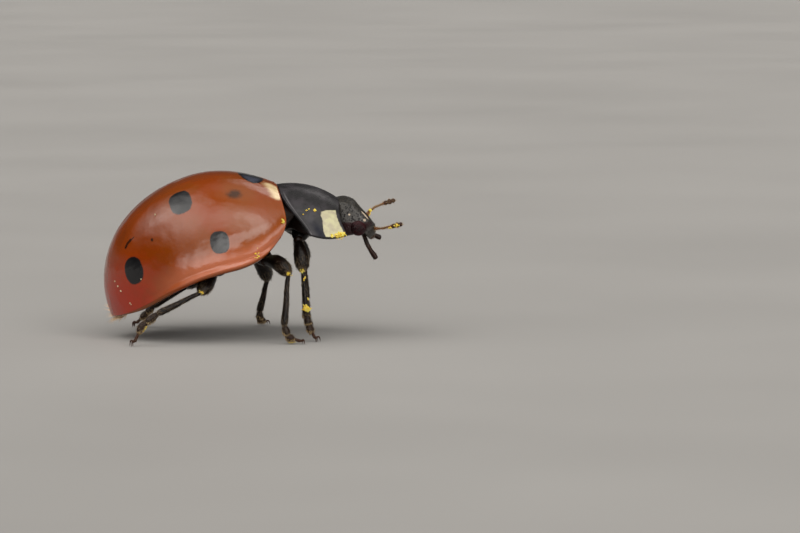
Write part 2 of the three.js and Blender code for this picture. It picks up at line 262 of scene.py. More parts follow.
def shell(outer, inner, roundness=1.0, rim_steps=6):
    """Points and faces of the closed shell between two grids, with a rounded rim along their borders."""
    rows, columns = outer.shape[:2]
    top, left, right = 0, 0, columns - 1
    border = [(i, left) for i in range(rows - 1, top, -1)]
    border += [(top, j) for j in range(columns)]
    border += [(i, right) for i in range(1, rows)]
    border += [(rows - 1, j) for j in range(columns - 2, 0, -1)]
    i, j = np.array(border).T
    inside_i, inside_j = np.clip(i, 1, rows - 2), np.clip(j, 1, columns - 2)
    start, end = outer[i, j], inner[i, j]
    outward = start - outer[inside_i, inside_j]
    through_wall = unit(start - end)
    outward = unit(outward - (outward * through_wall).sum(-1, keepdims=True) * through_wall)
    half = (start - end) / 2
    reach = np.linalg.norm(half, axis=1, keepdims=True) * roundness
    size = rows * columns
    flat = i * columns + j
    rings, points = [flat], [outer.reshape(-1, 3), inner.reshape(-1, 3)]
    for k in range(1, rim_steps):
        turn = math.pi * k / rim_steps
        points.append((start + end) / 2 + half * math.cos(turn) + outward * reach * math.sin(turn))
        rings.append(2 * size + (k - 1) * len(flat) + np.arange(len(flat)))
    rings.append(flat + size)
    faces = Surface(outer).faces() + Surface(inner).faces(size)
    for near, far in zip(rings, rings[1:]):
        faces += np.stack((near, np.roll(near, -1), np.roll(far, -1), far), axis=-1).tolist()
    return np.concatenate(points), faces


def outer_fields(fields, shape, count, elsewhere):
    """Values over a shell's outer grid, as fields of all its points, even on the inside and the rim."""
    spread = {}
    for key, values in fields.items():
        spread[key] = np.full(count, elsewhere.get(key, 0.0))
        spread[key][:shape[0] * shape[1]] = np.broadcast_to(values, shape).ravel()
    return spread


def shell_patches(along, across, count):
    """A shell's places on the OFBake map: outer face, inner face above it, and the rim in between."""
    along, across = np.broadcast_arrays(0.01 + 0.98 * along, across)
    size = along.size
    patches = np.full((count, 2), (0.5, 0.785))
    patches[:size] = stacked(along, 0.01 + 0.76 * across).reshape(-1, 2)
    patches[size:2 * size] = stacked(along, 0.8 + 0.19 * across).reshape(-1, 2)
    return patches


def dome(share, angle, inset=0.0):
    """The wing cases' surface: share runs from front edge to tip, and angle from left edge to right."""
    e = ELYTRA
    across = np.cos(angle)
    side = np.abs(across)

    def swell(peak, base, middle_at, powers):
        forward = np.maximum(0, (middle_at - share) / middle_at)
        behind = np.clip((share - middle_at) / (1 - middle_at), 0, 1)
        taper = (peak - base) * forward ** powers[0]
        return (peak - inset - taper) * (1 - behind ** powers[1]) ** (1 / powers[2])

    width = swell(e["half_width"], e["base_half_width"], e["widest_at"], (2.3, 1.86, 1.93))
    height = swell(e["height"], e["base_height"], e["highest_at"], (2.2, 2.13, 2.03))
    front = e["base"] - e["front_sweep"] * side ** 1.5 - e["front_corner"] * (1 - np.sin(angle)) ** 7
    shoulder = np.maximum(0, 1 - share / 0.3) ** 2 * side ** 4
    edge = e["edge_lift"] * np.sin(math.pi * share) ** 2 * side ** 2 + e["shoulder_lift"] * shoulder
    x = lerp(front, e["apex"] + inset, share)
    y = width * np.sign(across) * side ** 0.92
    z = height * np.sin(angle) ** 0.95 + edge
    return stacked(x, y, z)


def shield(u, v, inset=0.0):
    """The pronotum's surface: u from its hind edge to its front edge, v from right to left."""
    p = PRONOTUM
    turn = (2 * v - 1) * p["spread"]
    across = np.sin(turn) / math.sin(p["spread"])
    side = np.abs(across)
    halfway = 4 * u * (1 - u)
    edge_fall = lerp(p["drop"], p["front_drop"], u) + p["sag"] * halfway
    fall = edge_fall * (1 - np.cos(turn)) / (1 - math.cos(p["spread"]))
    hind = p["sweep"] * side ** p["sweep_power"] + p["rounding"] * side ** 14
    x = lerp(hind, p["length"] + p["corner"] * side ** 10, u)
    y = p["half_width"] * across * (1 - p["narrowing"] * u ** 2) - np.sin(turn) * inset
    z = p["arch"] * halfway * np.cos(turn) - fall - np.cos(turn) * inset
    return stacked(x, y, z)


def grid(rows, columns):
    """Shares from 0 to 1 down the rows and across the columns of a grid."""
    return np.linspace(0, 1, rows)[:, None], np.linspace(0, 1, columns)[None, :]


def ellipse(points, centre, along, normal, half_sizes, tilt=0.0, power=2.0):
    """How far points lie from centre, over an ellipse's half sizes along and across a direction."""
    across = np.cross(normal, along)
    cosine, sine = math.cos(tilt), math.sin(tilt)
    offset = points - centre
    a, b = offset @ along, offset @ across
    long, wide = (a * cosine + b * sine) / half_sizes[0], (b * cosine - a * sine) / half_sizes[1]
    return (np.abs(long) ** power + np.abs(wide) ** power) ** (1 / power)


def inside_outline(places, corners):
    """Signed distance to an outline with straight sides, positive inside it."""
    corners = np.asarray(corners, float)
    distance = np.full(places.shape[:-1], np.inf)
    inside = np.zeros(places.shape[:-1], bool)
    for a, b in zip(corners, np.roll(corners, -1, 0)):
        side, offset = b - a, places - a
        share = np.clip((offset @ side) / (side @ side), 0, 1)
        distance = np.minimum(distance, np.linalg.norm(offset - share[..., None] * side, axis=-1))
        crosses = (a[1] > places[..., 1]) != (b[1] > places[..., 1])
        reach = a[0] + (places[..., 1] - a[1]) / ((b[1] - a[1]) or 1e-12) * (b[0] - a[0])
        inside ^= crosses & (places[..., 0] < reach)
    return np.where(inside, distance, -distance)


# --- pieces ------------

def add_piece(name, points, faces, material, slot=None, replaces=(), fields=None, patches=None,
              weld=True):
    """Makes one piece of the beetle. points are in the stance, in mm. fields are values at the points,
    which the material reads by name, and patches are the points' places on the OFBake map."""
    mesh = bpy.data.meshes.new(name)
    mesh.from_pydata(((points + SHIFT) * MM).tolist(), [], faces)
    for key, values in {"place": points, **(fields or {})}.items():
        vector = np.ndim(values) > 1
        layer = mesh.attributes.new(key, "FLOAT_VECTOR" if vector else "FLOAT", "POINT")
        layer.data.foreach_set("vector" if vector else "value", np.ravel(values).astype(np.float32))
    if patches is not None:
        corners = np.empty(len(mesh.loops), np.int32)
        mesh.loops.foreach_get("vertex_index", corners)
        layer = mesh.uv_layers.new(name="OFBake")
        layer.data.foreach_set("uv", patches[corners].astype(np.float32).ravel())
    if weld:
        edited = bmesh.new()
        edited.from_mesh(mesh)
        bmesh.ops.remove_doubles(edited, verts=edited.verts, dist=1e-4 * MM)
        bmesh.ops.dissolve_degenerate(edited, edges=edited.edges, dist=1e-5 * MM)
        bmesh.ops.recalc_face_normals(edited, faces=edited.faces)
        edited.to_mesh(mesh)
        edited.free()
    mesh.shade_smooth()
    mesh.materials.append(material)
    piece = bpy.data.objects.new(name, mesh)
    bpy.context.scene.collection.objects.link(piece)
    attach(piece, "root")
    if replaces:
        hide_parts(*replaces)
    return piece


def joined(parts):
    """Several (points, faces) as one."""
    points, faces, start = [], [], 0
    for some, theirs in parts:
        points.append(some)
        faces += [[corner + start for corner in face] for face in theirs]
        start += len(some)
    return np.concatenate(points), faces


def body_of(surface):
    """Points and faces of a closed surface, such as a limb."""
    return surface.points.reshape(-1, 3), surface.faces()


HAIR_PATCH = 0.003  # size of one hair's part of the OFBake map
SLANT = (0.31, 0.62, 0.72)  # any direction, from which a hair's sides are turned


def hairs(roots, directions, bends, lengths, radius, patches):
    """Points, faces and OFBake places of pointed, curved hairs: a three-sided foot, a middle and a tip."""
    aside = unit(np.cross(directions, SLANT))
    above = np.cross(directions, aside)
    rings = []
    for t, share in ((-0.1, 1.0), (0.5, 0.75)):
        centre = roots + (directions * t + bends * t * abs(t)) * lengths[:, None]
        for k in range(3):
            turn = 2 * math.pi * k / 3
            rings.append(centre + (aside * math.cos(turn) + above * math.sin(turn)) * radius * share)
    rings.append(roots + (directions + bends) * lengths[:, None])
    points = np.stack(rings, axis=1)
    pattern = [(0, 2, 1)]
    for k in range(3):
        after = (k + 1) % 3
        pattern += [(k, after, 3 + after, 3 + k), (3 + k, 3 + after, 6)]
    starts = np.arange(len(roots)) * 7
    faces = [[corner + start for corner in face] for start in starts.tolist() for face in pattern]
    corners = np.array(((0, 0), (1, 0), (0.5, 1), (0, 0.5), (1, 0.5), (0.5, 0.7), (0.5, 0.5)))
    patches = patches[:, None] + corners * HAIR_PATCH
    return points.reshape(-1, 3), faces, patches.reshape(-1, 2)


def hair_on(surface, count, length, radius, lean=0.8, lift=0.6, span=(0.02, 0.98), around=(0, 1),
            band=(0, 1)):
    """Hairs that grow from a surface and lean along it. They take a band of the OFBake map."""
    u, v = RANDOM.uniform(*span, count), RANDOM.uniform(*around, count)
    roots, normals, along = surface.read(u, v)
    drift = RANDOM.normal(0, 0.16, (count, 3))
    directions = unit(normals * lift + along * lean + drift)
    bends = along * 0.25 - normals * 0.1
    patches = stacked(lerp(band[0], band[1], u), v) * 0.98
    return hairs(roots, directions, bends, length * RANDOM.uniform(0.6, 1.15, count), radius, patches)


def hair_on_each(surfaces, count, length, radius):
    """Hairs on several surfaces, each with its own band of the OFBake map."""
    total = len(surfaces)
    return [hair_on(surface, count, length, radius, band=(k / total, (k + 0.9) / total))
            for k, surface in enumerate(surfaces)]


FLOOR_GAP = 0.004  # no hair or grain comes nearer to the floor, in mm


def add_hair(name, tufts, material, slot):
    points, faces = joined([(tuft[0], tuft[1]) for tuft in tufts])
    points[:, 2] = np.maximum(points[:, 2], FLOOR_GAP)
    patches = np.concatenate([tuft[2] for tuft in tufts])
    add_piece(name, points, faces, material, slot, patches=patches, weld=False)


# --- finishes ----------

def rgb(red, green, blue):
    """A colour given as 0 to 255, for a shader."""
    def linear(x):
        x /= 255
        return x / 12.92 if x <= 0.04045 else ((x + 0.055) / 1.055) ** 2.4
    return linear(red), linear(green), linear(blue), 1


class Nodes:
    """A node tree that grows in short calls."""

    def __init__(self, tree):
        self.tree = tree

    def feed(self, socket, value):
        if isinstance(value, bpy.types.NodeSocket):
            self.tree.links.new(value, socket)
        else:
            socket.default_value = value

    def node(self, kind, inputs, output=0, **settings):
        made = self.tree.nodes.new("ShaderNode" + kind)
        for key, value in settings.items():
            setattr(made, key, value)
        for key, value in inputs.items():
            self.feed(made.inputs[key], value)
        return made.outputs[output]

    def math(self, operation, a, b=0.0):
        return self.node("Math", {0: a, 1: b}, operation=operation)

    def add(self, a, b):
        return self.math("ADD", a, b)

    def times(self, a, b):
        return self.math("MULTIPLY", a, b)

    def step(self, value, low, high, to_low=0.0, to_high=1.0):
        """A soft step from to_low, where value is low, to to_high, where it is high."""
        inputs = {"Value": value, "From Min": low, "From Max": high,
                  "To Min": to_low, "To Max": to_high}
        return self.node("MapRange", inputs, interpolation_type="SMOOTHSTEP")


class Finish(Nodes):
    """A material of one Principled shader."""

    def __init__(self, name, **constants):
        self.material = bpy.data.materials.new(name)
        self.material.use_nodes = True
        super().__init__(self.material.node_tree)
        self.shader = self.tree.nodes["Principled BSDF"]
        for key, value in constants.items():
            self.shader.inputs[key.replace("_", " ")].default_value = value

    def field(self, name):
        return self.node("Attribute", {}, "Fac", attribute_name=name)

    def place(self):
        return self.node("Attribute", {}, "Vector", attribute_name="place")

    def noise(self, scale, detail=3.0):
        """Noise with about scale lumps to the millimetre."""
        inputs = {"Vector": self.place(), "Scale": scale, "Detail": detail, "Roughness": 0.55}
        return self.node("TexNoise", inputs, "Fac")

    def cells(self, scale):
        """Distance from the nearest of scattered points, about scale of them to the millimetre."""
        return self.node("TexVoronoi", {"Vector": self.place(), "Scale": scale}, "Distance")

    def wobble(self, scale, reach, detail=3.0):
        """Noise that runs to about half of reach on both sides of zero."""
        return self.times(self.math("SUBTRACT", self.noise(scale, detail), 0.5), reach)

    def vary(self, scale, low, high, detail=2):
        """A number that drifts between low and high with the noise."""
        return self.step(self.noise(scale, detail), 0.3, 0.7, low, high)

    def zone(self, name, wobble, low, high):
        """A soft step of a field, along an edge that wobble makes ragged."""
        return self.step(self.add(self.field(name), wobble), low, high)

    def mix(self, share, a, b):
        return self.node("Mix", {0: share, 6: a, 7: b}, 2, data_type="RGBA")

    def mottle(self, scale, a, b, detail=4.0):
        return self.mix(self.step(self.noise(scale, detail), 0.33, 0.7), a, b)

    def bump(self, height, depth, normal=None):
        """Relief of depth mm."""
        inputs = {"Height": height, "Distance": depth * MM}
        if normal is not None:
            inputs["Normal"] = normal
        return self.node("Bump", inputs)

    def finish(self, colour=None, roughness=None, normal=None):
        for socket, value in (("Base Color", colour), ("Roughness", roughness), ("Normal", normal)):
            if value is not None:
                self.feed(self.shader.inputs[socket], value)
        return self.material


def wing_case_finish():
    """Glossy orange-brown chitin, paler at the rim, with black spots, cream shoulders and painted red
    bounce light low at the rear.
    """
    f = Finish("wing_case", IOR=1.5)
    broad, fine = f.noise(0.9, 2), f.noise(5, 3)
    uneven = f.wobble(5, 0.2)
    share = f.add(f.field("share"), uneven)
    rim = f.add(f.field("rim"), uneven)
    colour = f.mix(f.step(share, 0.3, 0.75), rgb(118, 57, 8), rgb(107, 43, 1))
    colour = f.mix(f.step(broad, 0.35, 0.7), colour, rgb(122, 50, 5))
    # Redder low at the rear, near the rim: painted red bounce light.
    behind = f.times(f.step(share, 0.62, 0.92), f.step(rim, 2.1, 0.3))
    colour = f.mix(behind, colour, rgb(138, 32, 0))
    # Paler at the rim: partly the chitin's own paler margin, partly a painted pinkish reflection.
    pale = f.times(f.step(rim, 0.75, 0.15), f.field("pale_rim_and_painted_reflection"))
    colour = f.mix(pale, colour, rgb(162, 88, 56))
    wobble = f.wobble(7, 0.14)
    colour = f.mix(f.zone("cream", wobble, -0.1, 0.12), colour, rgb(208, 184, 142))
    ragged = f.wobble(9, 0.7)
    smudge = f.times(f.zone("smudge", ragged, 1.2, 0.3), 0.82)
    colour = f.mix(smudge, colour, rgb(34, 26, 18))
    scratch = f.times(f.zone("scratch", ragged, 1.4, 0.6), 0.9)
    colour = f.mix(scratch, colour, rgb(24, 8, 2))
    black = f.mix(fine, rgb(5, 4, 5), rgb(12, 12, 15))
    # The bluish sheen on the shared spot is painted into its colour.
    black = f.mix(f.field("sheen"), black, rgb(58, 61, 74))
    colour = f.mix(f.zone("spot", wobble, 1.07, 0.94), colour, black)
    roughness = f.step(fine, 0.3, 0.7, 0.11, 0.17)
    pits = f.step(f.cells(15), 0.0, 0.3)
    normal = f.bump(pits, 0.0007, f.bump(f.noise(2.6, 2), 0.012, f.bump(broad, 0.06)))
    return f.finish(colour, roughness, normal)


def black_finish(name, dark, grey, roughness, pit_depth, pit_scale, brown=None):
    """Black chitin, finely pitted and a little cloudy. Brown shows where the tint field is high."""
    f = Finish(name, IOR=1.5, Specular_IOR_Level=0.15)
    cloud = f.noise(3, 4)
    colour = f.mix(f.step(cloud, 0.3, 0.7), dark, grey)
    if brown is not None:
        colour = f.mix(f.field("tint"), colour, brown)
    pits = f.step(f.cells(pit_scale), 0.0, 0.35)
    normal = f.bump(pits, pit_depth, f.bump(cloud, 0.01))
    return f.finish(colour, f.vary(9, roughness - 0.04, roughness + 0.05), normal)


def pronotum_finish():
    """Black with a blue-grey sheen, and a cream patch in each front corner."""
    f = Finish("pronotum_shield", IOR=1.5, Specular_IOR_Level=0.24)
    cloud = f.noise(2.5, 4)
    colour = f.mix(f.step(cloud, 0.35, 0.65), rgb(29, 28, 29), rgb(50, 47, 50))
    # Painted dark blue shade low on the sides, where the flanks face down.
    colour = f.mix(f.field("painted_blue_shade"), colour, rgb(5, 8, 24))
    # A painted highlight in a thin band along the hind edge.
    colour = f.mix(f.field("painted_margin_highlight"), colour, rgb(104, 102, 104))
    patch = f.zone("cream", f.wobble(10, 0.07), -0.018, 0.022)
    colour = f.mix(patch, colour, f.mottle(7, rgb(178, 174, 138), rgb(160, 152, 128)))
    roughness = f.add(f.vary(8, 0.26, 0.36), f.times(f.field("painted_blue_shade"), 0.25))
    pits = f.step(f.cells(17), 0.0, 0.35)
    normal = f.bump(pits, 0.0025, f.bump(cloud, 0.012))
    return f.finish(colour, roughness, normal)


def cream_finish():
    f = Finish("cream_plate", IOR=1.5)
    colour = f.mottle(6, rgb(190, 180, 146), rgb(166, 150, 116))
    return f.finish(colour, f.vary(8, 0.35, 0.5), f.bump(f.cells(18), 0.003))


def eye_finish():
    """Dark compound eye of many small domed facets."""
    f = Finish("eye", IOR=1.5, Specular_IOR_Level=0.16)
    colour = f.mottle(4, rgb(20, 2, 4), rgb(50, 8, 14), 2)
    facets = f.step(f.cells(44), 0.0, 0.7, 1.0, 0.0)
    return f.finish(colour, f.vary(10, 0.16, 0.26), f.bump(facets, 0.008))


def hair_finish(name, dark, light):
    f = Finish(name)
    return f.finish(f.mix(f.noise(12, 2), dark, light), f.vary(20, 0.4, 0.6, 1))


def pollen_finish():
    f = Finish("pollen", IOR=1.45)
    f.shader.inputs["Subsurface Weight"].default_value = 0.25
    f.shader.inputs["Subsurface Scale"].default_value = 0.02 * MM
    colour = f.mottle(14, rgb(206, 172, 34), rgb(222, 204, 100), 3)
    return f.finish(colour, f.vary(20, 0.5, 0.75), f.bump(f.cells(90), 0.003))


def floor_finish():
    f = Finish("floor")
    vector = f.node("TexCoord", {}, "Object")
    mottle = f.node("TexNoise", {"Vector": vector, "Scale": 60.0, "Detail": 3.0}, "Fac")
    colour = f.mix(mottle, rgb(148, 146, 143), rgb(155, 153, 150))
    return f.finish(colour, f.step(mottle, 0.2, 0.8, 0.55, 0.7))


WING_CASE = wing_case_finish()
PRONOTUM_BLACK = pronotum_finish()
BODY_BLACK = black_finish("body_black", rgb(8, 4, 3), rgb(22, 11, 8), 0.4, 0.004, 14)
LEG_BLACK = black_finish("leg_black", rgb(4, 2, 1), rgb(18, 10, 7), 0.32, 0.003, 22, rgb(66, 36, 18))
MOUTH_BROWN = black_finish("mouth_brown", rgb(18, 10, 7), rgb(42, 24, 17), 0.3, 0.003, 22,
                           rgb(104, 66, 38))
CREAM = cream_finish()
EYE_DARK = eye_finish()
GREY_HAIR = hair_finish("grey_hair", rgb(48, 38, 30), rgb(134, 114, 86))
GOLD_HAIR = hair_finish("gold_hair", rgb(128, 98, 58), rgb(186, 162, 118))
PALE_HAIR = hair_finish("pale_hair", rgb(214, 172, 128), rgb(244, 218, 184))
POLLEN = pollen_finish()


# --- wing cases -----------------

WALL = 0.09  # thickness of a wing case
SEAM = 0.008  # half the gap between the wing cases
FLANGE = 0.34  # the rim turns this far in under the body
# Of a wing case's grid, the rows are closest at the tip and the columns at the rim, by these powers.
ROW_POWER, COLUMN_POWER = 1.6, 1.2
LENGTH = ELYTRA["base"] - ELYTRA["apex"]
FAR = 9.0  # what a mark's field is well outside the mark
# A mark's place is a share of the length and degrees from the left edge over the top. Its half sizes
# are in mm, down the side and along the body, and its tilt is in degrees.
Mark = namedtuple("Mark", "share degrees half_down half_along tilt squareness")
SPOTS = (
    Mark(0.4715, 126.5, 0.46, 0.3, -2, 2.7),
    Mark(0.358, 165, 0.3, 0.25, -8, 2.6),
    Mark(0.815, 152.4, 0.37, 0.32, -6, 2.2),
)
# Outlines beside the seam, in mm back from the front edge and down from the seam: the spot that both
# wing cases share, and the cream shoulder
SHARED_SPOT = ((0.21, -0.3), (0.28, 0.5), (0.39, 0.8), (0.53, 0.91), (0.66, 0.84), (0.77, 0.63),
               (0.82, 0.3), (0.83, -0.3))
CREAM_SHOULDER = ((0.3, 0.8), (0.24, 1.02), (0.19, 1.3), (0.2, 1.56), (0.1, 1.66), (-0.2, 1.66),
                  (-0.2, 0.9), (0.12, 0.56), (0.24, 0.6))
ACROSS_SCALE = 2.15  # mm down the side for each radian of the dome
# Small marks on the right wing case only: a smudge, a dot, and a scratch's strokes, each with its two
# ends and its half width
SMUDGE = Mark(0.207, 131, 0.22, 0.27, 25, 1.7)
DOT = Mark(0.672, 143.6, 0.05, 0.04, 0, 2)
SCRATCHES = (
    ((0.806, 129.2), (0.79, 128), 0.05),
    ((0.784, 128.2), (0.772, 128.4), 0.05),
    ((0.8, 128.8), (0.75, 129), 0.022),
)


def on_dome(share, degrees, side):
    """A point of the given side's wing case, with the directions down the side and out of the surface."""
    angle = math.radians(180 - degrees)
    step = 1e-3
    here = dome(np.array(share), np.array(angle))
    back = unit(dome(np.array(share + step), np.array(angle)) - here)
    down = unit(here - dome(np.array(share), np.array(angle + step)))
    mirror = np.array((1, side, 1))
    directions = [(vector * mirror) @ TRUNK[:3, :3].T for vector in (down, np.cross(back, down))]
    return carried(TRUNK, here * mirror), *directions


def marked(points, mark, side):
    """How far points lie from a mark's centre: 1 on its outline."""
    centre, down, normal = on_dome(mark.share, mark.degrees, side)
    return ellipse(points, centre, down, normal * side, (mark.half_down, mark.half_along),
                   math.radians(mark.tilt), mark.squareness)


def stroke(points, start, end, half_width, side):
    """How far points lie from a straight stroke, over its half width."""
    start, end = on_dome(*start, side)[0], on_dome(*end, side)[0]
    way = end - start
    share = np.clip((points - start) @ way / (way @ way), 0, 1)
    return np.linalg.norm(points - start - share[..., None] * way, axis=-1) / half_width


def wing_marks(skin, share, angle, side):
    """The fields of a wing case's marks, over the grid of its outer surface."""
    places = stacked(share * LENGTH, (math.pi / 2 - angle) * ACROSS_SCALE)
    shared = 1 - inside_outline(places, SHARED_SPOT) / 0.3
    smudge = scratch = np.full(skin.shape[:2], FAR)
    if side == SIDES["right"]:
        smudge = marked(skin, SMUDGE, side)
        strokes = [stroke(skin, *spec, side) for spec in SCRATCHES]
        scratch = np.minimum.reduce([marked(skin, DOT, side), *strokes])
    return {
        "spot": np.minimum.reduce([shared, *(marked(skin, spot, side) for spot in SPOTS)]),
        # Where the shared spot gets its painted bluish sheen, away from the seam
        "sheen": smooth(places[..., 1], 0.2, 0.55) * smooth(shared, 1.0, 0.6),
        "cream": inside_outline(places, CREAM_SHOULDER),
        "smudge": smudge,
        "scratch": scratch,
    }


def wing_case(name, side):
    rows, columns = 190, 140
    u, v = grid(rows, columns)
    share = 1 - (1 - u) ** ROW_POWER
    # The inner edge leaves room for the scutellum.
    notch = SCUTELLUM["half_width"] * np.maximum(0, 1 - share * LENGTH / SCUTELLUM["reach"])
    angle = (math.pi / 2 - notch / ELYTRA["base_half_width"]) * (1 - v) ** COLUMN_POWER

    def wall(inset):
        points = dome(share, angle, inset)
        points[..., 1] = side * (np.maximum(0, points[..., 1]) + SEAM)
        return points

    outer, inner = Surface(wall(0.0)), wall(WALL)
    steps = np.linalg.norm(np.diff(outer.points, axis=1), axis=-1)
    rim = np.zeros((rows, columns))
    rim[:, :-1] = np.cumsum(steps[:, ::-1], axis=1)[:, ::-1]
    # The margin is a narrow bead with a groove above it, which fade towards the front and the tip.
    bead = 0.016 * bell(rim, 0, 0.055) - 0.01 * bell(rim, 0.14, 0.06)
    bead = bead * smooth(share, 0.01, 0.1) * smooth(1 - share, 0.02, 0.5)
    raised = outer.points + outer.normal * bead[..., None]
    # The rim turns in under the body.
    fold = smooth(v, 0.86, 1.0) * smooth(1 - share, 0.0, 0.2) * smooth(share, -0.02, 0.06)
    inner[..., 1] -= side * FLANGE * fold
    inner[..., 2] += 0.05 * fold
    skin = carried(TRUNK, raised)
    points, faces = shell(skin, carried(TRUNK, inner), roundness=0.7)
    # The paler rim, partly a painted pinkish reflection, fades out towards the tip.
    fields = {"share": share, "rim": rim, "pale_rim_and_painted_reflection": smooth(share, 0.85, 0.4)}
    fields.update(wing_marks(skin, share, angle, side))
    elsewhere = {"spot": FAR, "smudge": FAR, "scratch": FAR, "cream": -1.0}
    fields = outer_fields(fields, rim.shape, len(points), elsewhere)
    add_piece(f"wing_case_{name}", points, faces, WING_CASE, "wing_case", [f"elytron_{name}"], fields,
              shell_patches(u, v, len(points)))
    return Surface(skin)


WING_SURFACES = {name: wing_case(name, side) for name, side in SIDES.items()}


def scutellum():
    u, v = grid(20, 24)
    across = 2 * v - 1
    s = SCUTELLUM

    def face(depth):
        x = -s["length"] * u
        y = s["half_width"] * (1 - u) * across
        z = 0.03 * (1 - across ** 2) * (1 - u) - depth
        return stacked(x, y, z)

    matrix = TRUNK @ about_y(s["slope"], s["at"])
    points, faces = shell(carried(matrix, face(0)), carried(matrix, face(0.12)))
    add_piece("scutellum_plate", points, faces, BODY_BLACK, "shield", ["scutellum"])


scutellum()


# --- pronotum and underside --------------

# Outline of the cream patch in the right front corner, as (u, v) of the shield
PATCH = ((0.45, -0.1), (0.45, 0.03), (0.49, 0.06), (0.57, 0.105), (0.565, 0.135), (0.62, 0.161),
         (0.72, 0.183), (0.9, 0.203), (0.945, 0.213), (0.95, 0.17), (0.965, 0.08), (0.99, 0.02),
         (1.1, -0.1))
PATCH_SCALE = np.array((1.7, 4.2))  # mm for one u and one v
SHIELD_WALL = 0.1  # thickness of the pronotum


def pronotum():
    rows, columns = 90, 220
    u, v = grid(rows, columns)
    outer = Surface(shield(u, v))
    mirrored = np.minimum(v, 1 - v)
    hind_edge = u * PATCH_SCALE[0]
    at_side = smooth(mirrored, 0.36, 0.16)
    edge = np.minimum(mirrored * PATCH_SCALE[1], hind_edge + (1 - at_side) * 0.3)
    bead = 0.02 * bell(edge, 0, 0.05)
    skin = carried(SHIELD, outer.points + outer.normal * bead[..., None])
    points, faces = shell(skin, carried(SHIELD, shield(u, v, SHIELD_WALL)))
    places = stacked(u, mirrored) * PATCH_SCALE
    fields = {
        "cream": inside_outline(places, np.array(PATCH) * PATCH_SCALE),
        # Where the painted dark blue shade lies: low on the sides, behind their middle
        "painted_blue_shade": bell(u, 0.32, 0.16) * bell(mirrored, 0.03, 0.06),
        # A painted highlight just inside the hind edge, towards the sides
        "painted_margin_highlight": 0.85 * bell(hind_edge, 0.045, 0.017) * smooth(mirrored, 0.34, 0.25),
    }
    fields = outer_fields(fields, (rows, columns), len(points), {"cream": -1.0})
    add_piece("pronotum_shield", points, faces, PRONOTUM_BLACK, "shield", ["pronotum"], fields,
              shell_patches(v, u, len(points)))
    return Surface(skin)


PRONOTUM_SURFACE = pronotum()


def prothorax():
    """The underside of the pronotum: hollowed flanks with a keel between the front legs."""
    u, v = grid(50, 90)
    along = lerp(0.2, 0.93, u)
    top = shield(along, v, 0.13)
    edge = shield(along, np.zeros_like(v), 0.13)
    across = top[..., 1] / edge[..., 1]
    low = top.copy()
    low[..., 2] = edge[..., 2] - 0.1 * (1 - across ** 2)
    low[..., 2] += 0.1 * bell(np.abs(across), 0.68, 0.16)
    low[..., 2] -= 0.1 * bell(across, 0, 0.13) * smooth(u, 0.02, 0.3)
    points, faces = shell(carried(SHIELD, top), carried(SHIELD, low), roundness=0.2)
    add_piece("prothorax_underside", points, faces, BODY_BLACK, "underside", ["prothorax"])


prothorax()
CORE_INSET = 0.3  # the trunk lies this far inside the wing cases' surface


def underside(share, across):
    """The trunk's underside: across runs from -1 at the right edge to 1 at the left."""
    edge = dome(share, np.zeros_like(share + across), CORE_INSET)
    low = edge.copy()
    low[..., 1] = edge[..., 1] * across
    low[..., 2] = edge[..., 2] - BELLY * np.sqrt(np.maximum(0, 1 - share)) * (1 - across ** 2)
    return low


def trunk_core(name, start, end, replaces):
    u, v = grid(60, 70)
    share = lerp(start, end, u)
    angle = math.pi * (1 - v)
    top = dome(share, angle, CORE_INSET)
    across = np.cos(angle) * np.abs(np.cos(angle)) ** -0.08
    low = underside(share, across)
    points, faces = shell(carried(TRUNK, top), carried(TRUNK, low), roundness=0.05)
    add_piece(name, points, faces, BODY_BLACK, "underside", replaces)


trunk_core("thorax_core", -0.1, 0.438, ["thorax"])
trunk_core("abdomen_core", 0.44, 0.99, ["abdomen"])


def belly_plate(name, shares, sides, rise, material=BODY_BLACK, bow=0.0, tuck=0.0):
    """A domed plate on the underside from one share to another and from one side to another. bow moves
    its middle rearwards, and tuck sinks its front edge under the plate before it."""
    u, v = grid(26, 60)
    across = lerp(sides[0], sides[1], v)
    share = lerp(shares[0], shares[1], u) + bow * (1 - across ** 2)
    crown = np.minimum(1, 4 * np.minimum(u, 1 - u) ** 0.7)
    crown = crown * np.minimum(1, 6 * np.minimum(v, 1 - v) ** 0.7)
    low = underside(share, across)
    out = low.copy()
    out[..., 2] -= rise * (0.35 + 0.65 * crown) * lerp(1 - tuck, 1, u)
    low[..., 2] += 0.04
    points, faces = shell(carried(TRUNK, out), carried(TRUNK, low), roundness=0.3, rim_steps=4)
    add_piece(name, points, faces, material, "underside")
    return Surface(carried(TRUNK, out))


BELLY_PLATES = [belly_plate("metasternum", (0.19, 0.4), (-0.66, 0.66), 0.07, bow=0.02)]
belly_plate("mesosternum", (0.04, 0.165), (-0.24, 0.24), 0.06)
for side_name, side in SIDES.items():
    belly_plate(f"metepisternum_{side_name}", (0.14, 0.41), (side * 0.69, side * 0.86), 0.06)
    belly_plate(f"mesepimeron_{side_name}", (0.02, 0.13), (side * 0.62, side * 0.84), 0.07, CREAM)
SEGMENT_ENDS = (0.45, 0.57, 0.67, 0.76, 0.84, 0.91, 0.975)
for number, (start, end) in enumerate(zip(SEGMENT_ENDS, SEGMENT_ENDS[1:]), 1):
    plate = belly_plate(f"sternite_{number}", (start - 0.012, end), (-0.93, 0.93), 0.06,
                        bow=0.03, tuck=0.7)
    BELLY_PLATES.append(plate)
add_hair("belly_hair", hair_on_each(BELLY_PLATES, 260, 0.09, 0.0035), GREY_HAIR, "underside")
add_hair("tip_fringe",
         [hair_on(BELLY_PLATES[-1], 420, 0.44, 0.008, lean=1.2, lift=0.42, span=(0.75, 0.99))],
         PALE_HAIR, "underside")


# --- head --------------

